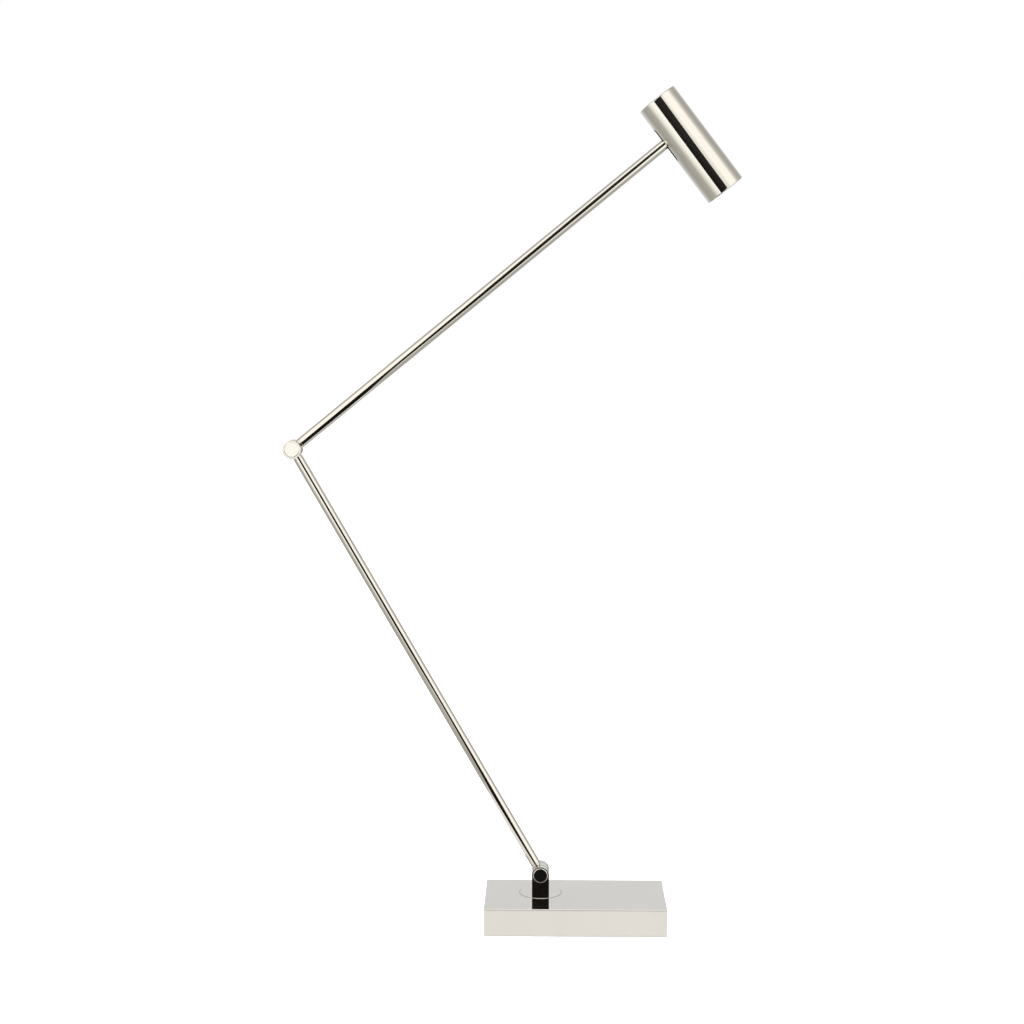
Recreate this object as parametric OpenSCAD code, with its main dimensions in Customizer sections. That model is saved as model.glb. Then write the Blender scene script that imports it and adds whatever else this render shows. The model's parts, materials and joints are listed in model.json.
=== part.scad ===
// Swing arm desk lamp: weighted base, turntable, two tube arms and a tilting cylindrical head.
// Millimetres, +Z up. The origin is the centre of the face that rests on the desk,
// +X is along the base's long side and -Y is the side where the pivot caps are looked at.

/* [Base] */
// Length of the base along X
base_w = 178; // [160:1:220]
// Depth of the base along Y
base_d = 95; // [84:1:130]
// Height of the base's top face above the desk
base_h = 27.3; // [26.5:0.1:32]
// Thickness of the base cover's four side walls
base_wall = 3.5; // [2.5:0.5:5]
// Width of the bevel along the cover's edges
base_bevel = 0.45; // [0.2:0.05:1]
// How far the non-slip pad stands proud of the cover
pad_proud = 0.6; // [0.5:0.1:1.5]

/* [Turntable and post] */
// Swivel axis from the middle of the base along X
swivel_x = -34.2; // [-45:0.1:-20]
// Swivel axis from the middle of the base along Y
swivel_y = 6.5; // [-8:0.5:10]
// Diameter of the turntable
turntable_dia = 41.6; // [40:0.2:50]
// Width of the clevis post along X
post_w = 17; // [17:0.5:20]
// Depth of the clevis post along Y
post_depth = 24.5; // [20.5:0.5:28]
// Height of the post's pivot above the base's top face
post_pivot_h = 20.8; // [20.2:0.2:26]

/* [Arms] */
// Lower arm, from pivot to pivot
lower_len = 486.8; // [300:0.1:600]
// Lean of the lower arm from upright, towards -X
lower_lean = 29.8; // [15:0.1:45]
// Upper arm, from pivot to pivot
upper_len = 482.5; // [300:0.5:600]
// Rise of the upper arm above level, towards +X
upper_rise = 39.1; // [25:0.1:55]
// Outer diameter of the arm tubes
tube_dia = 10; // [10:0.1:10.4]
// Wall of the arm tubes
tube_wall = 1; // [0.8:0.1:1.2]
// Diameter of the two discs that close the elbow
elbow_dia = 17.8; // [17.6:0.1:20]
// Depth of the elbow along Y
elbow_depth = 20.5; // [20.5:0.5:24]

/* [Head] */
// Outer diameter of the head
head_dia = 40; // [40:0.5:44]
// Length of the head
head_len = 108.8; // [106:0.2:120]
// Wall of the head's tube
head_wall = 1.6; // [1.2:0.1:2]
// Dip of the head's axis below level, towards +X
head_dip = 52.3; // [50:0.1:55]
// Distance from the head's closed end to its tilt pivot
head_pivot_back = 38.2; // [36:0.1:40]
// Length of the slot that the arm moves in
slot_len = 37; // [36:0.5:42]
// Middle of the slot from the pivot, towards the mouth
slot_shift = 2; // [1:0.1:3]
// Depth of the lens inside the mouth
lens_recess = 9; // [8:0.5:12]

/* [Hidden] */
$fn = 64;
gap = 0.05;              // radial clearance of a pin, shaft or spigot in its hole
eps = 0.02;              // lets a cut run clear of a face

// base
pad_t = 1.6;
plate_t = 2;
top_t = 6.5;             // thickness of the cover under its top face
plate_z = pad_t;
cavity_z = base_h - top_t;
cavity_w = base_w - 2 * base_wall;
cavity_d = base_d - 2 * base_wall;
inset = 0.4;             // clearance round the pad, plate and weight
screw_x = base_w / 2 - 14;
screw_y = base_d / 2 - 12;
screw_r = 2;
screw_head_r = 3.8;
driver_w = 66;
driver_d = 34;
driver_h = 11;
driver_x = 34;
driver_y = -14;
driver_pocket = 3;       // room round the driver
gland_x = 40;
gland_z = 12;
gland_r = 2.8;           // bore for the lead
gland_body_r = 4.6;
gland_flange_r = 6.5;
gland_flange_t = 1.2;
gland_len = 10;
terminal_size = [16, 9, 9];
terminal_x = 8;
terminal_y = 30;
bay_front = 19;          // front of the bay behind the weight, for the inlet and the terminals
bay_w = 60;
channel_d = 12;
pocket_roof = 3;         // iron left over the pockets
lead_r = 2.2;
pair_r = 1;
terminal_pitch = 8;
terminal_bore_z = 3.5;
driver_screw_in = 4;     // from the driver's ends
driver_screw_r = 1.6;
driver_head_r = 2.9;
driver_head_t = 1.6;

// turntable
disc_r = turntable_dia / 2;
disc_t = 3;
disc_gap = 0.3;
disc_proud = 0.3;        // of the base's top face
thrust_t = 0.5;
thrust_r = 14;
stem_r = 5;
stem_bore_r = 3.3;
stem_z = 8.4;
stem_in_post = 6;
bush_r = 8;
bush_flange_r = 11;
bush_flange_t = 1.2;
nut_flats = 16;
swivel_stop_r = 18;
stop_pin_r = 0.9;
swivel_travel = 170;     // each way
well_r = 17;             // room for the nut in the weight

// clevis joint
pivot_z = base_h + post_pivot_h;
post_half = post_depth / 2;
elbow_half = elbow_depth / 2;
post_r = post_w / 2;
gap_half = 5.25;         // half the space between the ears, and between the elbow's discs
saddle_drop = 8.8;       // floor of the post's gap below the pivot
post_bevel = 0.12;
post_foot = post_pivot_h - disc_proud;
post_screw_y = 8.2;
post_screw_r = 1.5;
post_screw_head_r = 2.7;
pin_r = 3;
cap_r = 7.25;
cap_t = 1.9;
cap_bevel_w = 0.55;      // the bevel round the cap's face, across
cap_bevel_h = 0.4;       // and down
cap_proud = 0.45;
recess_r = cap_r + 0.12;
recess_t = 2.9;
pin_head_r = 5.4;
pin_head_t = 1.35;

// knuckles
tongue_t = 8.9;
foot_eye_r = 8.5;
head_eye_r = 7.6;
neck_r = 4.3;
collar_z = 9.2;
collar_len = 1.6;
collar_bevel = 0.2;
tube_r = tube_dia / 2;
spigot_r = tube_r - tube_wall - gap;
spigot_end = 27;
tube_start = collar_z + collar_len + gap;
wire_bore_r = 1.7;
wire_r = 1.25;
chamber_r = 6.3;
chamber_t = 3.4;
loop_r = 4.75;
wire_end_tongue = 7.4;   // where the arm's cable stops short of a tongue's pivot
wire_end_lap = 9.4;      // and of the elbow's
washer_r = 4.8;
grub_r = 1.5;
grub_z = 19;
tilt_stop_r = 5.9;
stop_groove_w = 2.1;
stop_margin = 11;        // the groove's extra angle at each end, the pin's own half included
lower_back = 30;         // further lean, to -X
lower_forward = 60;      // swing back over and to +X

// elbow
elbow_bevel = 0.45;
lap_r = 8.2;
lap_clear_r = 8.6;
lap_inner = 0.24;        // half the space between the two lapped eyes
lap_face = 4.78;
channel_r0 = 3.6;
channel_r1 = 6.4;
channel_half = 3.3;
lap_bore_y = 2.3;
lap_bore_r = 1.3;
elbow_loop_r = 5;
elbow_stop_r = 6.2;
elbow_open = 120;
elbow_close = 33;
elbow_stop_angle = 180 + upper_rise + (elbow_open - elbow_close) / 2;
elbow_x = swivel_x - lower_len * sin(lower_lean);
elbow_z = pivot_z + lower_len * cos(lower_lean);

// head, along its own axis from the pivot, +Z towards the mouth and +X towards the arm
head_x = elbow_x + upper_len * cos(upper_rise);
head_z = elbow_z + upper_len * sin(upper_rise);
head_r = head_dia / 2;
bore_r = head_r - head_wall;
end_z = -head_pivot_back;
mouth_z = head_len - head_pivot_back;
lip_r = 1.2;             // round of the shell's outer edges
slot_w = 11.2;
slot_corner_r = 3.6;
end_cap_t = 3;
lens_z = mouth_z - lens_recess;
lens_t = 2;
lens_r = 16.2;
bezel_t = 3.5;
bezel_r = 14.6;
inner_r = bore_r - gap;
board_z = lens_z - 12.5;
board_t = 1.6;
board_r = 15;
sink_len = 19;
sink_z = board_z - sink_len;
fin_t = 1.6;
fin_pitch = 3.4;
sink_core_r = 9;
cradle_ring_t = 3;
cradle_z = sink_z - cradle_ring_t;
cradle_hole_r = 6;
cheek_in = 5.6;
cheek_out = 8.6;
cheek_r = 7;
head_pin_r = 2.5;
head_pin_head_r = 4.2;
lead_r_small = 0.85;
lead_pitch = 2.2;
cradle_screw_r = 1.5;
cradle_screw_x = 13;
board_screw_r = 1.25;
board_screw_x = 11.5;
plate_len = 4;           // the heat sink's two solid ends
lead_bore_r = 2.6;
emitter_r = 4.6;
emitter_t = 1;
cup_z = board_z + board_t + 0.3;
cup_end = lens_z - lens_t - 0.3;
cup_r0 = 5.2;
cup_r1 = 15.4;
cup_t = 0.8;

// ---- colours ----
module nickel() color([0.82, 0.79, 0.74]) children();
module steel() color([0.62, 0.62, 0.64]) children();
module iron() color([0.30, 0.30, 0.32]) children();
module rubber() color([0.10, 0.10, 0.11]) children();
module nylon() color([0.90, 0.89, 0.84]) children();
module sheath() color([0.16, 0.16, 0.18]) children();

// ---- places ----
module at_swivel() translate([swivel_x, swivel_y, 0]) children();
module at_post() translate([swivel_x, swivel_y, pivot_z]) children();
module at_elbow() translate([elbow_x, swivel_y, elbow_z]) children();
// +Z runs up the lower arm from the post's pivot
module along_lower() at_post() rotate([0, -lower_lean, 0]) children();
// +Z runs down the lower arm from the elbow
module down_lower() at_elbow() rotate([0, 180 - lower_lean, 0]) children();
// +Z runs along the upper arm from the elbow
module along_upper() at_elbow() rotate([0, 90 - upper_rise, 0]) children();
// +Z runs back along the upper arm from the head's pivot
module back_upper() translate([head_x, swivel_y, head_z]) rotate([0, -90 - upper_rise, 0]) children();
module in_head() translate([head_x, swivel_y, head_z]) rotate([0, 90 + head_dip, 0]) children();

// ---- shapes ----
// round bar from z0 to z1 on Z, with bevelled ends
module bevelled_bar(r, z0, z1, bevel) {
    rotate_extrude() polygon([
        [0, z0], [r - bevel, z0], [r, z0 + bevel], [r, z1 - bevel], [r - bevel, z1], [0, z1]]);
}

module ring(outer, inner, z0, z1) {
    rotate_extrude() translate([inner, z0]) square([outer - inner, z1 - z0]);
}

// round bar along Y, from y0 to y1
module bar_y(r, y0, y1) {
    translate([0, y0, 0]) rotate([-90, 0, 0]) cylinder(r = r, h = y1 - y0);
}

module ring_y(outer, inner, y0, y1) {
    rotate([-90, 0, 0]) ring(outer, inner, y0, y1);
}

// rectangle with cut corners, centred
module cut_rect(w, h, c) {
    polygon([
        [-w / 2 + c, -h / 2], [w / 2 - c, -h / 2], [w / 2, -h / 2 + c], [w / 2, h / 2 - c],
        [w / 2 - c, h / 2], [-w / 2 + c, h / 2], [-w / 2, h / 2 - c], [-w / 2, -h / 2 + c]]);
}

// block standing on z = 0 with every edge bevelled
module bevelled_block(w, d, h, c) {
    intersection() {
        linear_extrude(h) cut_rect(w, d, c);
        translate([0, d, h / 2]) rotate([90, 0, 0]) linear_extrude(2 * d) cut_rect(w, h, c);
        translate([-w, 0, h / 2]) rotate([90, 0, 90]) linear_extrude(2 * w) cut_rect(d, h, c);
    }
}

module centred_block(w, d, z0, z1) {
    translate([-w / 2, -d / 2, z0]) cube([w, d, z1 - z0]);
}

// hexagon on Z, measured across its flats
module hex(flats, z0, z1) {
    translate([0, 0, z0]) linear_extrude(z1 - z0)
        polygon([for (i = [0 : 5]) flats / 2 / cos(30) * [cos(60 * i), sin(60 * i)]]);
}

// countersunk screw on Z, its flat head at z = 0 and its tip at z = len
module countersunk(r, head_r, len) {
    head_h = head_r - r;
    difference() {
        rotate_extrude() polygon([[0, 0], [head_r, 0], [r, head_h], [r, len], [0, len]]);
        translate([0, 0, -eps]) hex(1.3 * r, 0, 0.7 * head_h);
    }
}

// hole for a countersunk screw, with a little room round it
module countersink(r, head_r) {
    room = 0.15;
    depth = head_r - r;
    rotate_extrude() polygon([
        [0, 0], [head_r + room, 0], [r + room, depth], [r + room, depth + 3], [0, depth + 3]]);
}

// arc of a groove or a cable round Z, its section at radius r, from angle a0 to a1
module arc(a0, a1) {
    rotate([0, 0, a0]) rotate_extrude(angle = a1 - a0) children();
}

module corners(x, y) {
    for (sx = [-1, 1], sy = [-1, 1]) translate([sx * x, sy * y, 0]) children();
}

// where a pin's head and nut bear, in a joint of this half depth
function pin_face(half) = half - recess_t;

// bevelled cap that covers a pin's end; side -1 is the -Y face, 1 the +Y face
module joint_cap(side, half) {
    top = half + cap_proud;
    rotate([-90 * side, 0, 0]) rotate_extrude() polygon([
        [0, top - cap_t], [cap_r, top - cap_t], [cap_r, top - cap_bevel_h],
        [cap_r - cap_bevel_w, top], [0, top]]);
}

// headed pin along Y with its head on the -Y side
module joint_pin(half) {
    face = pin_face(half);
    bar_y(pin_head_r, -face - pin_head_t, -face);
    bar_y(pin_r, -face - eps, face + pin_head_t);
}

module joint_nut(half) {
    face = pin_face(half);
    ring_y(pin_head_r, pin_r + gap, face, face + pin_head_t - 0.1);
}

// the round recess for a cap and a pin's head, in the face at half on Z
module cap_recess(half) {
    translate([0, 0, pin_face(half)]) cylinder(r = recess_r, h = recess_t + eps);
}

// collar, spigot and the wire's bore, shared by all four knuckles
module knuckle_root() {
    cylinder(r = neck_r, h = collar_z + collar_len / 2);
    bevelled_bar(tube_r, collar_z, collar_z + collar_len, collar_bevel);
    cylinder(r = spigot_r, h = spigot_end);
}

module knuckle_bores(z0) {
    translate([0, 0, z0]) cylinder(r = wire_bore_r, h = spigot_end - z0 + eps);
    translate([0, 0, grub_z]) bar_y(grub_r + gap, 0, tube_r);
}

// knuckle with one eye between two cheeks; its chamber lets the wire turn round the pin
module tongue_knuckle(eye_r, bore_r, stop_groove) {
    difference() {
        union() {
            knuckle_root();
            bar_y(eye_r, -tongue_t / 2, tongue_t / 2);
        }
        bar_y(bore_r + gap, -tongue_t, tongue_t);
        bar_y(chamber_r, -chamber_t / 2, chamber_t / 2);
        // the wire leaves on the far side from the tube
        rotate([90, 0, 0]) translate([0, 0, -chamber_t / 2]) linear_extrude(chamber_t)
            polygon([[0, 0], [-2 * eye_r, -0.9 * eye_r], [0, -2 * eye_r], [2 * eye_r, -0.9 * eye_r]]);
        knuckle_bores(pin_r + 1.5);
        if (stop_groove) tilt_stop_groove();
    }
}

// arc groove in the front cheek in which the post's stop pin runs
module tilt_stop_groove() {
    straight_down = 270 - lower_lean;
    rotate([90, 0, 0])
        arc(straight_down - lower_back - stop_margin, straight_down + lower_forward + stop_margin)
            translate([tilt_stop_r - stop_groove_w / 2, tongue_t / 2 - 1.2]) square([stop_groove_w, 2]);
}

// half-thickness eye that laps the other arm's; side -1 lies in front, 1 behind
module lap_knuckle(side) {
    difference() {
        union() {
            knuckle_root();
            bar_y(lap_r, side > 0 ? lap_inner : -lap_face, side > 0 ? lap_face : -lap_inner);
        }
        // room for the other eye, and the flat of this one
        bar_y(lap_clear_r, side > 0 ? -2 * lap_face : -lap_inner, side > 0 ? lap_inner : 2 * lap_face);
        bar_y(pin_r + gap, -2 * lap_face, 2 * lap_face);
        ring_y(channel_r1, channel_r0, -channel_half, channel_half);
        knuckle_bores(lap_clear_r + 0.4);
        translate([0, side * lap_bore_y, pin_r + 1.5]) cylinder(r = lap_bore_r, h = collar_z - pin_r);
        if (side < 0) elbow_stop_groove();
    }
}

// arc groove in the front eye in which the elbow's stop pin runs
module elbow_stop_groove() {
    half = (elbow_open + elbow_close) / 2 + stop_margin;
    rotate([90, 0, 0]) arc(270 - half, 270 + half)
        translate([elbow_stop_r - stop_groove_w / 2, lap_face - 1.1]) square([stop_groove_w, 2]);
}

// tube from its start collar to its end collar, with bevelled ends and the grub screws' holes
module arm_tube(len) {
    z1 = len - tube_start;
    b = 0.25;
    inner = tube_r - tube_wall;
    difference() {
        rotate_extrude() polygon([
            [inner, tube_start], [tube_r - b, tube_start], [tube_r, tube_start + b],
            [tube_r, z1 - b], [tube_r - b, z1], [inner, z1]]);
        for (z = [grub_z, len - grub_z]) translate([0, 0, z]) bar_y(grub_r + 2 * gap, 0, 2 * tube_r);
    }
}

module grub_pair(len) {
    for (z = [grub_z, len - grub_z]) translate([0, 0, z]) difference() {
        bar_y(grub_r, 2, tube_r - 0.2);
        translate([0, tube_r, 0]) rotate([90, 0, 0]) hex(1.5, 0, 1.4);
    }
}

// cable down the middle of an arm, from z0 in one knuckle to z1 in the other
module arm_cable(z0, z1) {
    translate([0, 0, z0]) cylinder(r = wire_r, h = z1 - z0);
}

// turn of cable round a pin, in the chamber of a knuckle
module cable_loop(r, a0, a1) {
    rotate([90, 0, 0]) arc(a0, a1) translate([r, 0]) circle(r = wire_r);
}

// ---- base ----
module base_shell() nickel() difference() {
    translate([0, 0, pad_proud]) bevelled_block(base_w, base_d, base_h - pad_proud, base_bevel);
    centred_block(cavity_w, cavity_d, 0, cavity_z);
    at_swivel() {
        // recess of the turntable, and the bush's hole
        translate([0, 0, base_h - disc_t - thrust_t]) cylinder(r = disc_r + disc_gap, h = top_t);
        cylinder(r = bush_r, h = base_h);
        // groove of the swivel's stop pin
        translate([0, 0, base_h - disc_t - thrust_t - 1.8])
            arc(270 - swivel_travel - 4, 270 + swivel_travel + 4)
            translate([swivel_stop_r - 1.2, 0]) square([2.4, 3]);
    }
    translate([0, 0, cavity_z - eps]) corners(screw_x, screw_y) cylinder(r = screw_r + gap, h = 4);
    translate([gland_x, base_d / 2 - 2 * base_wall, gland_z]) bar_y(gland_body_r + gap, 0, 3 * base_wall);
}

module base_weight() iron() difference() {
    centred_block(cavity_w - 2 * inset, cavity_d - 2 * inset, plate_z + plate_t, cavity_z - 0.1);
    at_swivel() cylinder(r = well_r, h = base_h);
    corners(screw_x, screw_y) cylinder(r = screw_r + 0.3, h = base_h);
    roof_z = cavity_z - pocket_roof;
    translate([driver_x, driver_y, 0])
        centred_block(driver_w + 2 * driver_pocket, driver_d + 2 * driver_pocket, 0, roof_z);
    // bay for the inlet and the terminals, and channels to the driver and on to the swivel
    translate([(gland_x + terminal_x - bay_w) / 2, bay_front, 0]) cube([bay_w, base_d, roof_z]);
    translate([terminal_x, (terminal_y + driver_y) / 2, 0])
        centred_block(terminal_pitch + 6, terminal_y - driver_y - driver_d / 2, 0, roof_z - pocket_roof);
    translate([swivel_x, driver_y + driver_pocket, 0])
        cube([driver_x - swivel_x, channel_d, roof_z - pocket_roof]);
}

module base_plate() steel() difference() {
    centred_block(cavity_w - 2 * inset, cavity_d - 2 * inset, plate_z, plate_z + plate_t);
    corners(screw_x, screw_y) translate([0, 0, plate_z - eps]) countersink(screw_r, screw_head_r);
}

module base_screws() steel() corners(screw_x, screw_y) translate([0, 0, plate_z])
    countersunk(screw_r, screw_head_r, cavity_z - plate_z + 3.5);

module base_pad() rubber() linear_extrude(pad_t) cut_rect(cavity_w - 2 * inset, cavity_d - 2 * inset, 2);

module cord_gland() rubber() translate([gland_x, base_d / 2, gland_z]) rotate([-90, 0, 0])
    rotate_extrude() polygon([
        [gland_r, gland_flange_t], [gland_r, gland_flange_t - gland_len],
        [gland_body_r + 0.9, gland_flange_t - gland_len], [gland_body_r + 0.9, -base_wall - 0.6],
        [gland_body_r, -base_wall - 0.1], [gland_body_r, 0], [gland_flange_r, 0],
        [gland_flange_r, 0.6 * gland_flange_t], [gland_flange_r - 0.5, gland_flange_t]]);

module driver() color([0.93, 0.93, 0.92]) translate([driver_x, driver_y, plate_z + plate_t]) difference() {
    bevelled_block(driver_w, driver_d, driver_h, 1);
    for (s = [-1, 1]) translate([s * (driver_w / 2 - driver_screw_in), 0, 0]) {
        translate([0, 0, 1]) cylinder(r = driver_screw_r + gap, h = driver_h);
        translate([0, 0, driver_h - driver_head_t])
            cylinder(r = driver_head_r + 0.2, h = driver_head_t + 1);
    }
}

module driver_screws() steel() for (s = [-1, 1])
    translate([driver_x + s * (driver_w / 2 - driver_screw_in), driver_y, plate_z + plate_t]) {
        translate([0, 0, 1.1]) cylinder(r = driver_screw_r, h = driver_h - driver_head_t - 1);
        translate([0, 0, driver_h - driver_head_t]) cylinder(r = driver_head_r, h = driver_head_t - 0.1);
    }

module terminal_block() nylon() translate([terminal_x, terminal_y, plate_z + plate_t]) difference() {
    bevelled_block(terminal_size[0], terminal_size[1], terminal_size[2], 0.6);
    for (s = [-1, 1]) translate([s * terminal_pitch / 2, 0, 0]) {
        translate([0, 0, terminal_size[2] - 3]) cylinder(r = 1.9, h = 4);
        translate([0, 0, terminal_bore_z]) bar_y(pair_r + 0.2, -terminal_size[1], terminal_size[1]);
    }
}

// mains lead's inner end, the pair from the terminals to the driver, and the low-voltage pair
module base_wiring() sheath() {
    translate([gland_x, 0, gland_z]) bar_y(lead_r, terminal_y - 4, base_d / 2 - gland_len);
    translate([terminal_x + terminal_size[0] / 2 + 1, terminal_y - 2, gland_z])
        rotate([0, 90, 0]) cylinder(r = lead_r, h = gland_x - terminal_x - terminal_size[0] / 2 - 1);
    for (s = [-1, 1]) {
        translate([terminal_x + s * terminal_pitch / 2, 0, plate_z + plate_t + terminal_bore_z])
            bar_y(pair_r, driver_y + driver_d / 2 + 0.4, terminal_y - terminal_size[1] / 2 + 1);
        translate([swivel_x + 5, driver_y + driver_pocket + channel_d / 2 + 2 * s, plate_z + plate_t + 2])
            rotate([0, 90, 0]) cylinder(r = pair_r, h = driver_x - driver_w / 2 - swivel_x - 5.4);
    }
}

module swivel_bush() nylon() at_swivel() rotate_extrude() polygon([
    [stem_r + gap, cavity_z - bush_flange_t], [bush_flange_r, cavity_z - bush_flange_t],
    [bush_flange_r, cavity_z], [bush_r - gap, cavity_z],
    [bush_r - gap, base_h - disc_t - thrust_t], [stem_r + gap, base_h - disc_t - thrust_t]]);

// ---- turntable and post ----
module turntable_disc() nickel() at_swivel() difference() {
    bevelled_bar(disc_r, base_h - disc_t, base_h + disc_proud, 0.25);
    cylinder(r = stem_r + gap, h = base_h + 1);
    for (s = [-1, 1]) translate([0, s * post_screw_y, base_h - disc_t - eps])
        countersink(post_screw_r, post_screw_head_r);
    translate([0, -swivel_stop_r, base_h - disc_t - eps]) cylinder(r = stop_pin_r + gap, h = 2);
}

module clevis_post() nickel() at_post() difference() {
    intersection() {
        translate([0, 0, -2 * post_pivot_h])
            bevelled_block(post_w, post_depth, 4 * post_pivot_h, post_bevel);
        union() {
            rotate([90, 0, 0]) bevelled_bar(post_r, -post_half, post_half, post_bevel);
            centred_block(post_w, post_depth, -post_foot, 0);
        }
    }
    // the gap between the ears, and its floor
    translate([-post_w, -gap_half, -saddle_drop]) cube([2 * post_w, 2 * gap_half, 3 * post_w]);
    bar_y(pin_r + gap, -post_depth, post_depth);
    for (side = [-1, 1]) rotate([-90 * side, 0, 0]) cap_recess(post_half);
    translate([0, 0, -post_pivot_h - eps]) {
        cylinder(r = stem_r + gap, h = stem_in_post + 2 * eps);
        cylinder(r = stem_bore_r, h = post_pivot_h);
        for (s = [-1, 1]) translate([0, s * post_screw_y, 0]) cylinder(r = post_screw_r + gap, h = 8);
    }
    translate([0, 0, -tilt_stop_r]) bar_y(stop_pin_r + gap, -gap_half - 1.5, 0);
}

module swivel_stem() steel() at_swivel() ring(stem_r, stem_bore_r, stem_z, base_h + stem_in_post - 0.1);

module thrust_washer() nylon() at_swivel()
    ring(thrust_r, stem_r + 0.4, base_h - disc_t - thrust_t + 0.03, base_h - disc_t - 0.03);

module swivel_washer() steel() at_swivel()
    ring(bush_flange_r, stem_r + gap, cavity_z - bush_flange_t - 1.3, cavity_z - bush_flange_t - 0.1);

// split spring washer
module swivel_spring() steel() at_swivel() difference() {
    ring(9, stem_r + gap, cavity_z - 4.2, cavity_z - bush_flange_t - 1.4);
    translate([0, 0, cavity_z - 5]) rotate([0, 0, 30]) translate([0, -0.6, 0]) cube([12, 1.2, 5]);
}

module swivel_nut() steel() at_swivel() difference() {
    hex(nut_flats, stem_z + 0.8, cavity_z - 4.3);
    cylinder(r = stem_r + gap, h = base_h);
}

module swivel_stop_pin() steel() at_swivel()
    translate([0, -swivel_stop_r, base_h - disc_t - thrust_t - 1.3])
    cylinder(r = stop_pin_r, h = thrust_t + 3);

module post_screws() steel() at_swivel() for (s = [-1, 1])
    translate([0, s * post_screw_y, base_h - disc_t])
        countersunk(post_screw_r, post_screw_head_r, disc_t + 7);

module post_cable() sheath() at_swivel() translate([0, 0, plate_z + plate_t + 1])
    cylinder(r = wire_r, h = pivot_z - saddle_drop - plate_z - plate_t - 1.4);

module tilt_stop_pin() steel() at_post() translate([0, 0, -tilt_stop_r])
    bar_y(stop_pin_r, -gap_half - 1.4, -tongue_t / 2 + 0.9);

module post_pin() steel() at_post() joint_pin(post_half);

module post_nut() steel() at_post() joint_nut(post_half);

module post_washers() nylon() at_post() for (s = [-1, 1])
    rotate([-90 * s, 0, 0]) ring(washer_r, pin_r + 0.1, tongue_t / 2 + 0.06, gap_half - 0.04);

module post_caps() nickel() at_post() for (s = [-1, 1]) joint_cap(s, post_half);

// ---- lower arm ----
module lower_tube() nickel() along_lower() arm_tube(lower_len);

module foot_knuckle() nickel() along_lower() tongue_knuckle(foot_eye_r, pin_r, true);

module lower_elbow_knuckle() nickel() down_lower() lap_knuckle(1);

module lower_grub_screws() steel() along_lower() grub_pair(lower_len);

module lower_cable() sheath() along_lower() arm_cable(wire_end_tongue, lower_len - wire_end_lap);

module foot_cable_loop() sheath() along_lower() cable_loop(loop_r, -60, 60);

module elbow_discs() nickel() at_elbow() for (s = [-1, 1]) rotate([-90 * s, 0, 0]) difference() {
    bevelled_bar(elbow_dia / 2, gap_half, elbow_half, elbow_bevel);
    cylinder(r = pin_r + gap, h = elbow_depth);
    cap_recess(elbow_half);
    if (s < 0) rotate([0, 0, elbow_stop_angle])
        translate([elbow_stop_r, 0, gap_half - eps]) cylinder(r = stop_pin_r + gap, h = 1.5);
}

module elbow_caps() nickel() at_elbow() for (s = [-1, 1]) joint_cap(s, elbow_half);

module elbow_pin() steel() at_elbow() joint_pin(elbow_half);

module elbow_nut() steel() at_elbow() joint_nut(elbow_half);

module elbow_washers() nylon() at_elbow() {
    ring_y(5, pin_r + 0.1, -gap_half + 0.04, -lap_face - 0.06);
    ring_y(8, channel_r1 + 0.2, -0.18, 0.18);
    ring_y(8, pin_r + 0.1, lap_face + 0.06, gap_half - 0.04);
}

module elbow_stop_pin() steel() at_elbow() rotate([90, 0, 0]) rotate([0, 0, elbow_stop_angle])
    translate([elbow_stop_r, 0, lap_face - 0.85])
    cylinder(r = stop_pin_r, h = gap_half + 1.4 - lap_face + 0.85);

module elbow_cable_loop() sheath() at_elbow() cable_loop(elbow_loop_r, 50, 290);

// ---- upper arm ----
module upper_tube() nickel() along_upper() arm_tube(upper_len);

module upper_elbow_knuckle() nickel() along_upper() lap_knuckle(-1);

module head_knuckle() nickel() back_upper() tongue_knuckle(head_eye_r, head_pin_r, false);

module upper_grub_screws() steel() along_upper() grub_pair(upper_len);

module upper_cable() sheath() along_upper() arm_cable(wire_end_lap, upper_len - wire_end_tongue);

module head_cable_loop() sheath() back_upper() cable_loop(loop_r, -60, 60);

// ---- head ----
module head_shell() nickel() in_head() difference() {
    rotate_extrude() polygon(concat(
        [[bore_r, end_z]],
        [for (a = [-90 : 15 : 0]) lip_point(end_z + lip_r, a)],
        [for (a = [0 : 15 : 90]) lip_point(mouth_z - lip_r, a)],
        [[bore_r, mouth_z]]));
    arm_slot();
}

// point of the shell's rounded lip at this angle, its round centred at height z
function lip_point(z, angle) = [head_r - lip_r + lip_r * cos(angle), z + lip_r * sin(angle)];

// slot with round corners through the wall, on the arm's side
module arm_slot() {
    flat_w = slot_w - 2 * slot_corner_r;
    flat_len = slot_len - 2 * slot_corner_r;
    translate([head_r / 2, 0, slot_shift]) rotate([0, 90, 0]) {
        centred_block(slot_len, flat_w, 0, head_r);
        centred_block(flat_len, slot_w, 0, head_r);
        corners(flat_len / 2, flat_w / 2) cylinder(r = slot_corner_r, h = head_r);
    }
}

module head_end_cap() nickel() in_head() bevelled_bar(inner_r, end_z + 0.15, end_z + end_cap_t, 0.3);

// two cheeks that hold the pin, on a ring that screws to the heat sink
module head_cradle() steel() in_head() difference() {
    union() {
        ring(inner_r, cradle_hole_r, cradle_z, sink_z - 0.03);
        for (s = [-1, 1]) rotate([-90 * s, 0, 0]) {
            translate([0, 0, cheek_in]) cylinder(r = cheek_r, h = cheek_out - cheek_in);
            translate([-cheek_r, s > 0 ? -cradle_z - 1 : 0, cheek_in])
                cube([2 * cheek_r, cradle_z + 1, cheek_out - cheek_in]);
        }
    }
    bar_y(head_pin_r + gap, -head_r, head_r);
    for (s = [-1, 1]) translate([s * cradle_screw_x, 0, cradle_z - eps])
        cylinder(r = cradle_screw_r + gap, h = cradle_ring_t + 1);
}

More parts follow.
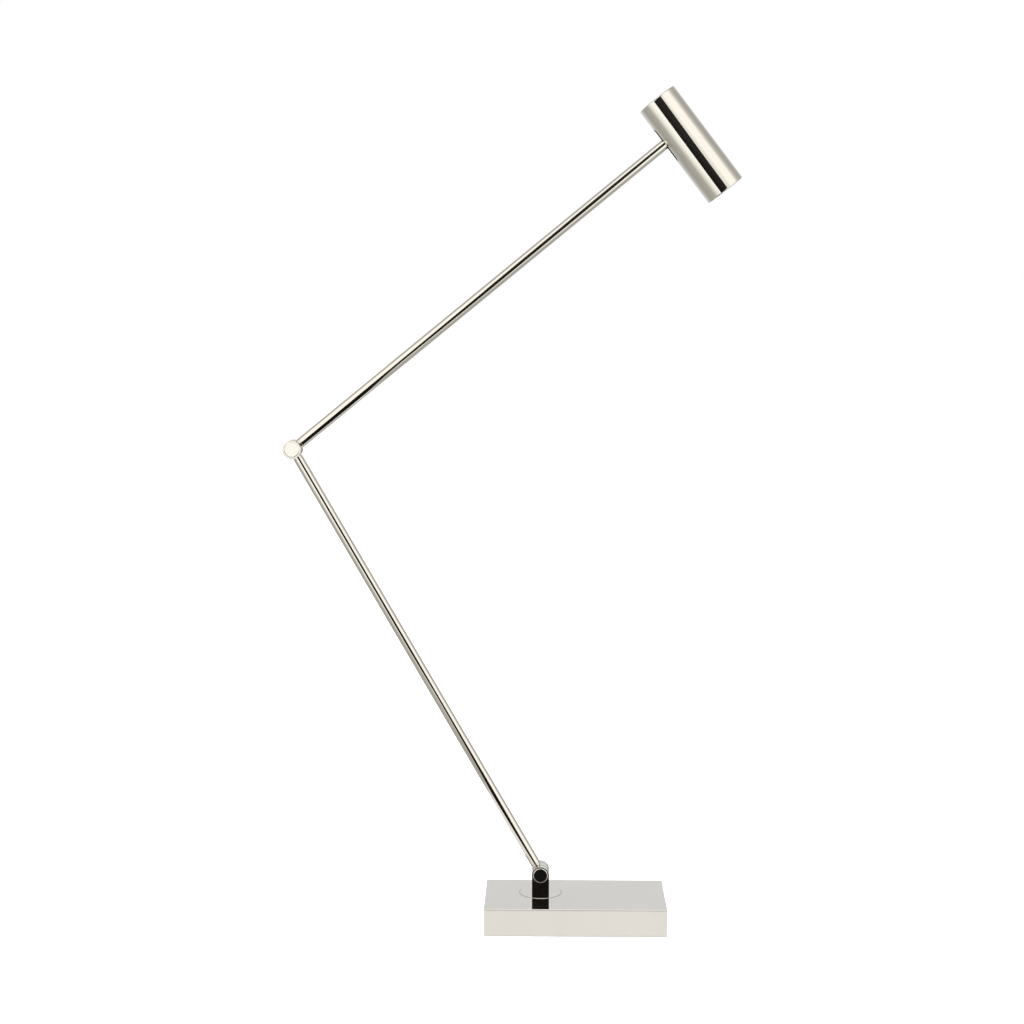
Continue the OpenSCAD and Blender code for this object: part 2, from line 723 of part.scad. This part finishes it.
module cradle_screws() steel() in_head() for (s = [-1, 1]) translate([s * cradle_screw_x, 0, cradle_z])
    difference() {
        union() {
            translate([0, 0, -1.8]) cylinder(r = 2.7, h = 1.8);
            cylinder(r = cradle_screw_r, h = cradle_ring_t + plate_len - 0.5);
        }
        translate([0, 0, -2]) hex(2.5, 0, 1.4);
    }

module head_pin() steel() in_head() {
    bar_y(head_pin_head_r, -cheek_out - 1.4, -cheek_out);
    bar_y(head_pin_r, -cheek_out - 0.1, cheek_out + 2);
}

module head_nut() steel() in_head() rotate([-90, 0, 0]) difference() {
    hex(8, cheek_out, cheek_out + 1.9);
    cylinder(r = head_pin_r + gap, h = 2 * cheek_out);
}

module head_washers() nylon() in_head() for (s = [-1, 1])
    rotate([-90 * s, 0, 0]) ring(washer_r, head_pin_r + 0.1, tongue_t / 2 + 0.06, cheek_in - 0.1);

module heat_sink() color([0.75, 0.76, 0.78]) in_head() difference() {
    union() {
        translate([0, 0, sink_z]) cylinder(r = sink_core_r, h = sink_len);
        for (z = [sink_z, board_z - plate_len]) translate([0, 0, z]) cylinder(r = inner_r, h = plate_len);
        for (z = [sink_z + plate_len + 1.6 : fin_pitch : board_z - plate_len - fin_t])
            translate([0, 0, z]) cylinder(r = inner_r, h = fin_t);
    }
    translate([0, 0, sink_z - 1]) cylinder(r = lead_bore_r, h = sink_len + 2);
    for (s = [-1, 1]) {
        translate([s * cradle_screw_x, 0, sink_z - eps]) cylinder(r = cradle_screw_r + gap, h = plate_len);
        translate([s * board_screw_x, 0, board_z - plate_len + 0.5])
            cylinder(r = board_screw_r + gap, h = plate_len);
    }
}

module led_board() color([0.93, 0.93, 0.90]) in_head() difference() {
    translate([0, 0, board_z]) cylinder(r = board_r, h = board_t);
    for (s = [-1, 1]) translate([s * board_screw_x, 0, board_z - 1])
        cylinder(r = board_screw_r + 2 * gap, h = board_t + 2);
    for (s = [-1, 1]) translate([0, s * lead_pitch / 2, board_z - 1])
        cylinder(r = lead_r_small + 0.1, h = board_t - 0.2);
}

module board_screws() steel() in_head() for (s = [-1, 1]) translate([s * board_screw_x, 0, board_z]) {
    translate([0, 0, board_t]) cylinder(r = 2.1, h = 1.1);
    translate([0, 0, 0.8 - plate_len]) cylinder(r = board_screw_r, h = plate_len + board_t);
}

module led_chip() color([0.98, 0.86, 0.42]) in_head()
    bevelled_bar(emitter_r, board_z + board_t, board_z + board_t + emitter_t, 0.3);

module led_leads() sheath() in_head() for (s = [-1, 1])
    translate([0, s * lead_pitch / 2, head_eye_r + 2])
    cylinder(r = lead_r_small, h = board_z - head_eye_r - 1.6);

// shallow cup whose radius grows as a root of its depth
function cup_point(t, out) = [
    cup_r0 + (cup_r1 - cup_r0) * pow(t, 0.6) + out,
    cup_z + (cup_end - cup_z) * t];

module reflector() color([0.95, 0.95, 0.95]) in_head() {
    steps = 12;
    rotate_extrude() polygon(concat(
        [for (i = [0 : steps]) cup_point(i / steps, 0)],
        [for (i = [steps : -1 : 0]) cup_point(i / steps, cup_t)]));
}

module lens() color([0.96, 0.97, 0.98, 0.6]) in_head() bevelled_bar(lens_r, lens_z - lens_t, lens_z, 0.3);

// threaded ring that holds the lens
module bezel_ring() nickel() in_head() rotate_extrude() polygon([
    [inner_r, lens_z - lens_t], [inner_r, lens_z + bezel_t], [bezel_r + 0.8, lens_z + bezel_t],
    [bezel_r, lens_z + bezel_t - 0.8], [bezel_r, lens_z + 0.05], [lens_r + gap, lens_z + 0.05],
    [lens_r + gap, lens_z - lens_t]]);

base_shell();
base_weight();
base_plate();
base_screws();
base_pad();
cord_gland();
driver();
driver_screws();
terminal_block();
base_wiring();
swivel_bush();
turntable_disc();
clevis_post();
swivel_stem();
thrust_washer();
swivel_washer();
swivel_spring();
swivel_nut();
swivel_stop_pin();
post_screws();
post_cable();
tilt_stop_pin();
post_pin();
post_nut();
post_washers();
post_caps();
lower_tube();
foot_knuckle();
lower_elbow_knuckle();
lower_grub_screws();
lower_cable();
foot_cable_loop();
elbow_discs();
elbow_caps();
elbow_pin();
elbow_nut();
elbow_washers();
elbow_stop_pin();
elbow_cable_loop();
upper_tube();
upper_elbow_knuckle();
head_knuckle();
upper_grub_screws();
upper_cable();
head_cable_loop();
head_shell();
head_end_cap();
head_cradle();
cradle_screws();
head_pin();
head_nut();
head_washers();
heat_sink();
led_board();
board_screws();
led_chip();
led_leads();
reflector();
lens();
bezel_ring();
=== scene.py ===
import json

import bpy
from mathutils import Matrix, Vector


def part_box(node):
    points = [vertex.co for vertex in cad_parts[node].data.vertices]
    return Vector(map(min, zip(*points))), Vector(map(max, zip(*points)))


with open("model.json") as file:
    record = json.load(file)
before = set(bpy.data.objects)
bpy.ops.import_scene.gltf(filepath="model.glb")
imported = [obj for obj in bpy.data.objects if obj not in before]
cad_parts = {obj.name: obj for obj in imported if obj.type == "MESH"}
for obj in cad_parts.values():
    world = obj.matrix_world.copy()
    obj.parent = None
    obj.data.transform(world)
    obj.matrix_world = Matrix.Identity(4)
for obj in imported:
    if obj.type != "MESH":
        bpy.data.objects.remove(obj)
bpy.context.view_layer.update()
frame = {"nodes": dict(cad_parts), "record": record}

# ---- camera, as found from the photograph's view of the base ----
CAMERA_PLACE = (-0.0257, -1.8355, 0.62085)
CAMERA_LOOKS = (-0.01994, 0.99327, -0.11407)
LENS = 66.8                 # mm, on a sensor SENSOR mm wide
SENSOR = 36.0

# ---- studio: colours that a surface gives off, or paper's own, and places in metres ----
PAPER_WHITE = (1.0, 1.0, 1.0)
PAPER_SHADE = (0.93, 0.93, 0.92)
FLOOR_LIGHT = (1.3, 1.3, 1.3)       # what dull surfaces are lit by
GAP_BLACK = (0.010, 0.009, 0.009)
# The black flag by height in metres: blacker at its foot.
FLAG_TONES = [(0.30, (0.009, 0.008, 0.008)), (0.90, (0.031, 0.028, 0.026))]
# The walls as metal sees them, from straight behind the lamp (0) to straight in front (1).
WALLS = [
    (0.00, (0.85, 0.86, 0.89)), (0.05, (0.77, 0.78, 0.80)), (0.13, (0.60, 0.60, 0.60)),
    (0.25, (0.48, 0.485, 0.48)), (0.42, (0.55, 0.535, 0.515)), (0.50, (0.68, 0.67, 0.64)),
    (0.59, (0.90, 0.87, 0.83)), (0.65, (1.27, 1.25, 1.21)), (0.75, (1.33, 1.32, 1.28)),
    (1.00, (1.31, 1.31, 1.27))]
# The floor as metal sees it, from FLOOR_FADE behind the lamp (0) to FLOOR_FADE in front (1).
FLOOR_FADE = 1.8
FLOOR_TONES = [
    (0.00, (0.78, 0.79, 0.82)), (0.14, (0.66, 0.67, 0.69)), (0.31, (0.50, 0.50, 0.48)),
    (0.42, (0.465, 0.46, 0.435)), (0.50, (0.50, 0.495, 0.465)), (0.60, (0.53, 0.53, 0.495)),
    (0.64, (0.66, 0.67, 0.62)), (0.71, (0.90, 0.90, 0.85)), (0.78, (1.12, 1.13, 1.08)),
    (0.97, (1.30, 1.315, 1.28))]
# The duller patch of wall just right of the black flag: its colour, its middle's direction, and
# the cosines of the angles from there at which it starts and is full.
DULL = (1.03, 1.04, 0.99)
DULL_WAY = (0.206, -0.968, 0.139)
DULL_START, DULL_FULL = 0.93, 0.998
FLOOR_SIZE = 30.0
CARD_DROP = 0.0002          # how far the floor seen in metal lies below the paper
POST_X = sum(corner[0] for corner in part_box("clevis_post")) / 2
# Where the white sheet round the base and the black gap in front fade: from one distance to another.
SHEET_ACROSS, SHEET_AWAY = (0.17, 0.22), (0.13, 0.20)
GAP_ACROSS, GAP_FORWARD = (0.16, 0.20), (0.126, 0.130)
FLAG_Y = -1.0               # where the black flag stands
# The flag's outline: height, left edge and right edge.
FLAG_EDGES = [
    (0.00, -0.37, 0.37), (0.42, -0.36, 0.36), (0.56, -0.35, 0.31), (0.90, -0.36, 0.29),
    (1.00, -0.42, 0.31), (1.45, -0.48, 0.36)]

SHEEN_FINER = 2.3           # how much finer the patches of roughness are than those of colour


# ---- node helpers ----
def link(tree, source, target):
    tree.links.new(source, target)


def node(tree, kind, **values):
    made = tree.nodes.new("ShaderNode" + kind)
    for key, value in values.items():
        setattr(made, key, value)
    return made


def coordinates(tree, kind="Object", stretch=(1, 1, 1)):
    source = node(tree, "TexCoord").outputs[kind]
    mapping = node(tree, "Mapping")
    mapping.inputs["Scale"].default_value = stretch
    link(tree, source, mapping.inputs["Vector"])
    return mapping.outputs["Vector"]


def noise(tree, scale, detail=3.0, roughness=0.5, stretch=(1, 1, 1)):
    made = node(tree, "TexNoise")
    made.inputs["Scale"].default_value = scale
    made.inputs["Detail"].default_value = detail
    made.inputs["Roughness"].default_value = roughness
    link(tree, coordinates(tree, stretch=stretch), made.inputs["Vector"])
    return made.outputs["Fac"]


def cells(tree, scale):
    made = node(tree, "TexVoronoi", feature="F1")
    made.inputs["Scale"].default_value = scale
    link(tree, coordinates(tree), made.inputs["Vector"])
    return made.outputs["Distance"]


def bands(tree, scale, direction, distortion):
    made = node(tree, "TexWave", bands_direction=direction)
    made.inputs["Scale"].default_value = scale
    made.inputs["Distortion"].default_value = distortion
    link(tree, coordinates(tree), made.inputs["Vector"])
    return made.outputs["Fac"]


def between(tree, fac, low, high, start=0.3, end=0.7):
    """A number that runs from low to high as fac runs from start to end."""
    made = node(tree, "MapRange", interpolation_type="SMOOTHSTEP")
    made.inputs["From Min"].default_value = start
    made.inputs["From Max"].default_value = end
    made.inputs["To Min"].default_value = low
    made.inputs["To Max"].default_value = high
    link(tree, fac, made.inputs["Value"])
    return made.outputs["Result"]


def ramp(tree, fac, stops):
    """A colour from stops, a list of (place, colour)."""
    made = node(tree, "ValToRGB")
    points = made.color_ramp.elements
    while len(points) < len(stops):
        points.new(0.5)
    for point, (place, colour) in zip(points, stops):
        point.position = place
        point.color = (*colour, 1)
    link(tree, fac, made.inputs["Fac"])
    return made.outputs["Color"]


def math_node(tree, operation, *values):
    made = node(tree, "Math", operation=operation)
    for socket, value in zip(made.inputs, values):
        if isinstance(value, (int, float)):
            socket.default_value = value
        else:
            link(tree, value, socket)
    return made.outputs["Value"]


def mix(tree, fac, first, second):
    """first where fac is 0, and second where it is 1; either may be a colour or a socket."""
    made = node(tree, "MixRGB")
    link(tree, fac, made.inputs["Fac"])
    for socket, value in ((made.inputs["Color1"], first), (made.inputs["Color2"], second)):
        if isinstance(value, tuple):
            socket.default_value = (*value, 1)
        else:
            link(tree, value, socket)
    return made.outputs["Color"]


def bump(tree, height, strength, distance, under=None):
    made = node(tree, "Bump")
    made.inputs["Strength"].default_value = strength
    made.inputs["Distance"].default_value = distance
    link(tree, height, made.inputs["Height"])
    if under is not None:
        link(tree, under, made.inputs["Normal"])
    return made.outputs["Normal"]


def material(name, tones, roughness, mottle, metallic=0.0, **sockets):
    """A Principled material whose colour and roughness vary a little over the surface, in patches
    that get finer as mottle grows. Other sockets are named as Blender names them, with _ for a
    space."""
    made = bpy.data.materials.new(name)
    made.use_nodes = True
    tree = made.node_tree
    shader = tree.nodes["Principled BSDF"]
    shader.inputs["Metallic"].default_value = metallic
    for key, value in sockets.items():
        shader.inputs[key.replace("_", " ")].default_value = value
    tint = noise(tree, mottle, detail=4.0)
    stops = [(0.3, tones[0]), (0.7, tones[1])]
    link(tree, ramp(tree, tint, stops), shader.inputs["Base Color"])
    sheen = noise(tree, SHEEN_FINER * mottle, detail=5.0, roughness=0.6)
    link(tree, between(tree, sheen, *roughness), shader.inputs["Roughness"])
    return made, tree, shader


# ---- the lamp's finishes ----
def polished_nickel():
    made, tree, shader = material(
        "nickel_plate", tones=((0.735, 0.700, 0.640), (0.760, 0.727, 0.668)),
        roughness=(0.025, 0.060), mottle=22.0, metallic=1.0)
    buffing = noise(tree, scale=900.0, detail=2.0, stretch=(1, 1, 0.08))
    ripple = noise(tree, scale=14.0, detail=1.0)
    soft = bump(tree, ripple, strength=0.10, distance=0.00012)
    polish = bump(tree, buffing, strength=0.015, distance=0.00002, under=soft)
    link(tree, polish, shader.inputs["Normal"])
    return made


def zinc_steel():
    made, tree, shader = material(
        "zinc_plate", tones=((0.50, 0.51, 0.54), (0.60, 0.61, 0.62)),
        roughness=(0.28, 0.44), mottle=160.0, metallic=1.0)
    lines = noise(tree, scale=2200.0, detail=2.0, stretch=(0.1, 0.1, 1))
    link(tree, bump(tree, lines, strength=0.25, distance=0.00003), shader.inputs["Normal"])
    return made


def nylon():
    made, tree, shader = material(
        "nylon", tones=((0.80, 0.79, 0.72), (0.88, 0.87, 0.81)),
        roughness=(0.42, 0.58), mottle=120.0,
        Subsurface_Weight=0.25, Subsurface_Radius=(0.002, 0.0016, 0.0012))
    grain = noise(tree, scale=3200.0, detail=3.0)
    link(tree, bump(tree, grain, strength=0.15, distance=0.00004), shader.inputs["Normal"])
    return made


def cable_sheath():
    made, tree, shader = material(
        "cable_sheath", tones=((0.018, 0.018, 0.020), (0.034, 0.033, 0.034)),
        roughness=(0.42, 0.60), mottle=180.0)
    grain = noise(tree, scale=2600.0, detail=3.0)
    link(tree, bump(tree, grain, strength=0.2, distance=0.00005), shader.inputs["Normal"])
    return made


def cast_iron():
    made, tree, shader = material(
        "cast_iron", tones=((0.050, 0.050, 0.056), (0.105, 0.103, 0.105)),
        roughness=(0.55, 0.80), mottle=90.0, metallic=0.6)
    sand = noise(tree, scale=900.0, detail=6.0, roughness=0.7)
    pits = bump(tree, cells(tree, scale=260.0), strength=0.35, distance=0.0003)
    rough = bump(tree, sand, strength=0.7, distance=0.0004, under=pits)
    link(tree, rough, shader.inputs["Normal"])
    return made


def rubber_pad():
    made, tree, shader = material(
        "rubber_pad", tones=((0.020, 0.019, 0.019), (0.042, 0.040, 0.039)),
        roughness=(0.62, 0.82), mottle=70.0)
    grain = cells(tree, scale=900.0)
    link(tree, bump(tree, grain, strength=0.6, distance=0.00015), shader.inputs["Normal"])
    return made


def rubber_gland():
    made, tree, shader = material(
        "rubber_gland", tones=((0.026, 0.026, 0.028), (0.046, 0.045, 0.046)),
        roughness=(0.38, 0.52), mottle=200.0)
    grain = noise(tree, scale=1800.0, detail=2.0)
    link(tree, bump(tree, grain, strength=0.2, distance=0.00005), shader.inputs["Normal"])
    return made


def driver_case():
    made, tree, shader = material(
        "driver_case", tones=((0.70, 0.70, 0.67), (0.79, 0.79, 0.76)),
        roughness=(0.40, 0.56), mottle=60.0)
    grain = cells(tree, scale=1400.0)
    link(tree, bump(tree, grain, strength=0.35, distance=0.00008), shader.inputs["Normal"])
    return made


def aluminium():
    made, tree, shader = material(
        "aluminium", tones=((0.66, 0.67, 0.69), (0.76, 0.77, 0.79)),
        roughness=(0.26, 0.40), mottle=110.0, metallic=1.0)
    turned = bands(tree, scale=1500.0, direction="DIAGONAL", distortion=1.5)
    link(tree, bump(tree, turned, strength=0.2, distance=0.00004), shader.inputs["Normal"])
    return made


def board_white():
    made, tree, shader = material(
        "board_white", tones=((0.80, 0.80, 0.76), (0.87, 0.87, 0.84)),
        roughness=(0.22, 0.34), mottle=140.0)
    grain = noise(tree, scale=2400.0, detail=2.0)
    link(tree, bump(tree, grain, strength=0.1, distance=0.00003), shader.inputs["Normal"])
    return made


def phosphor():
    made, tree, shader = material(
        "phosphor", tones=((0.86, 0.66, 0.12), (0.95, 0.78, 0.26)),
        roughness=(0.30, 0.45), mottle=420.0)
    dots = cells(tree, scale=1100.0)
    link(tree, bump(tree, dots, strength=0.5, distance=0.00025), shader.inputs["Normal"])
    return made


def reflector_white():
    made, tree, shader = material(
        "reflector_white", tones=((0.86, 0.86, 0.85), (0.91, 0.91, 0.90)),
        roughness=(0.16, 0.28), mottle=130.0)
    grain = noise(tree, scale=1600.0, detail=2.0)
    link(tree, bump(tree, grain, strength=0.08, distance=0.00004), shader.inputs["Normal"])
    return made


def lens_glass():
    made, tree, shader = material(
        "lens_glass", tones=((0.93, 0.94, 0.95), (0.97, 0.98, 0.98)),
        roughness=(0.34, 0.46), mottle=150.0,
        Transmission_Weight=0.85, IOR=1.49)
    prisms = cells(tree, scale=620.0)
    link(tree, bump(tree, prisms, strength=0.6, distance=0.0003), shader.inputs["Normal"])
    return made


FINISHES = {make.__name__: make() for make in (
    polished_nickel, zinc_steel, nylon, cable_sheath, cast_iron, rubber_pad, rubber_gland,
    driver_case, aluminium, board_white, phosphor, reflector_white, lens_glass)}


def finish_cad_nodes():
    """Gives every node the finish that the record's slot for it names."""
    for part in frame["record"]["subparts"]:
        for slot in frame["nodes"][part["node"]].material_slots:
            slot.material = FINISHES[part["material_slot"]]


# ---- studio ----
def glow(name):
    """A surface that gives off light; its emission is returned so that a pattern can be added."""
    made = bpy.data.materials.new(name)
    made.use_nodes = True
    tree = made.node_tree
    tree.nodes.remove(tree.nodes["Principled BSDF"])
    emission = node(tree, "Emission")
    output = next(n for n in tree.nodes if n.type == "OUTPUT_MATERIAL")
    link(tree, emission.outputs["Emission"], output.inputs["Surface"])
    return made, tree, emission


def card(name, corners, surface):
    """A flat stage panel through its corners."""
    mesh = bpy.data.meshes.new(name)
    mesh.from_pydata([Vector(c) for c in corners], [], [range(len(corners))])
    mesh.materials.append(surface)
    made = bpy.data.objects.new(name, mesh)
    bpy.context.scene.collection.objects.link(made)
    return made


def only_in_reflections(made):
    """Leaves a card to be seen by polished surfaces and nothing else."""
    made.visible_camera = False
    made.visible_diffuse = False
    made.visible_transmission = False
    made.visible_volume_scatter = False
    made.visible_shadow = False
    made.visible_glossy = True


def floor_corners(height):
    half = FLOOR_SIZE / 2
    return [(x * half, y * half, height) for x, y in ((-1, -1), (1, -1), (1, 1), (-1, 1))]


def pale_floor():
    """The paper that the lamp stands on, as the eye sees it."""
    made = bpy.data.materials.new("paper")
    made.use_nodes = True
    tree = made.node_tree
    shader = tree.nodes["Principled BSDF"]
    fibre = noise(tree, scale=60.0, detail=6.0)
    stops = [(0.2, PAPER_SHADE), (0.8, PAPER_WHITE)]
    link(tree, ramp(tree, fibre, stops), shader.inputs["Base Color"])
    shader.inputs["Roughness"].default_value = 0.9
    floor = card("floor", floor_corners(0.0), made)
    floor.visible_glossy = False


def floor_in_reflections():
    """What polished metal sees below it: white paper close round the base, the studio's tones
    further off, and a black gap between the lights in front."""
    made, tree, emission = glow("floor_seen_in_metal")
    place = node(tree, "SeparateXYZ")
    link(tree, coordinates(tree), place.inputs["Vector"])
    x, y = place.outputs["X"], place.outputs["Y"]
    forward = math_node(tree, "MULTIPLY", y, -1.0)
    way = math_node(tree, "MULTIPLY_ADD", forward, 0.5 / FLOOR_FADE, 0.5)
    seen = ramp(tree, way, FLOOR_TONES)
    across = math_node(tree, "ABSOLUTE", math_node(tree, "SUBTRACT", x, POST_X))
    away = math_node(tree, "ABSOLUTE", y)
    sheet = math_node(tree, "MULTIPLY", between(tree, across, 1.0, 0.0, *SHEET_ACROSS),
                      between(tree, away, 1.0, 0.0, *SHEET_AWAY))
    gap = math_node(tree, "MULTIPLY", between(tree, across, 1.0, 0.0, *GAP_ACROSS),
                    between(tree, forward, 0.0, 1.0, *GAP_FORWARD))
    seen = mix(tree, sheet, seen, PAPER_WHITE)
    seen = mix(tree, gap, seen, GAP_BLACK)
    link(tree, seen, emission.inputs["Color"])
    only_in_reflections(card("floor_seen_in_metal", floor_corners(-CARD_DROP), made))


def black_flag():
    """The dark flag between the two front lights, wider at its foot and head."""
    surface, tree, emission = glow("black_flag")
    place = node(tree, "SeparateXYZ")
    link(tree, coordinates(tree), place.inputs["Vector"])
    link(tree, ramp(tree, place.outputs["Z"], FLAG_TONES), emission.inputs["Color"])
    left = [(x, FLAG_Y, z) for z, x, _ in FLAG_EDGES]
    right = [(x, FLAG_Y, z) for z, _, x in reversed(FLAG_EDGES)]
    only_in_reflections(card("black_flag", left + right, surface))


def surroundings():
    """White to the eye, and an even light to dull surfaces. Metal sees large front lights, greige
    sides and a pale backdrop."""
    world = bpy.data.worlds.new("studio")
    bpy.context.scene.world = world
    world.use_nodes = True
    tree = world.node_tree
    background = tree.nodes["Background"]
    way = coordinates(tree, "Generated")
    part = node(tree, "SeparateXYZ")
    link(tree, way, part.inputs["Vector"])
    tone = ramp(tree, math_node(tree, "MULTIPLY_ADD", part.outputs["Y"], -0.5, 0.5), WALLS)
    near_flag = node(tree, "VectorMath", operation="DOT_PRODUCT")
    link(tree, way, near_flag.inputs[0])
    near_flag.inputs[1].default_value = DULL_WAY
    dull = between(tree, near_flag.outputs["Value"], 0.0, 1.0, DULL_START, DULL_FULL)
    tone = mix(tree, dull, tone, DULL)
    rays = node(tree, "LightPath")
    seen = mix(tree, rays.outputs["Is Diffuse Ray"], tone, FLOOR_LIGHT)
    seen = mix(tree, rays.outputs["Is Camera Ray"], seen, PAPER_WHITE)
    link(tree, seen, background.inputs["Color"])


def soft_light(name, place, aim, size, power):
    """A round light in watts and metres, which shows in no reflection."""
    light = bpy.data.lights.new(name, "AREA")
    light.shape = "DISK"
    light.size = size
    light.energy = power
    made = bpy.data.objects.new(name, light)
    made.location = place
    made.rotation_mode = "QUATERNION"
    made.rotation_quaternion = (Vector(aim) - Vector(place)).to_track_quat("-Z", "Y")
    made.visible_glossy = False
    bpy.context.scene.collection.objects.link(made)


def camera():
    lens = bpy.data.cameras.new("camera")
    lens.lens = LENS
    lens.sensor_width = SENSOR
    lens.clip_start = 0.01
    lens.clip_end = 100.0
    made = bpy.data.objects.new("camera", lens)
    made.location = CAMERA_PLACE
    made.rotation_mode = "QUATERNION"
    made.rotation_quaternion = Vector(CAMERA_LOOKS).to_track_quat("-Z", "Y")
    bpy.context.scene.collection.objects.link(made)
    bpy.context.scene.camera = made


camera()
surroundings()
pale_floor()
floor_in_reflections()
black_flag()
soft_light("overhead", place=(0.2, -0.3, 2.6), aim=(0.0, 0.0, 0.2), size=3.0, power=55.0)
soft_light("front_left", place=(-2.2, -1.8, 1.9), aim=(0.0, 0.0, 0.3), size=2.0, power=30.0)
bpy.context.scene.view_settings.view_transform = "Standard"
finish_cad_nodes()
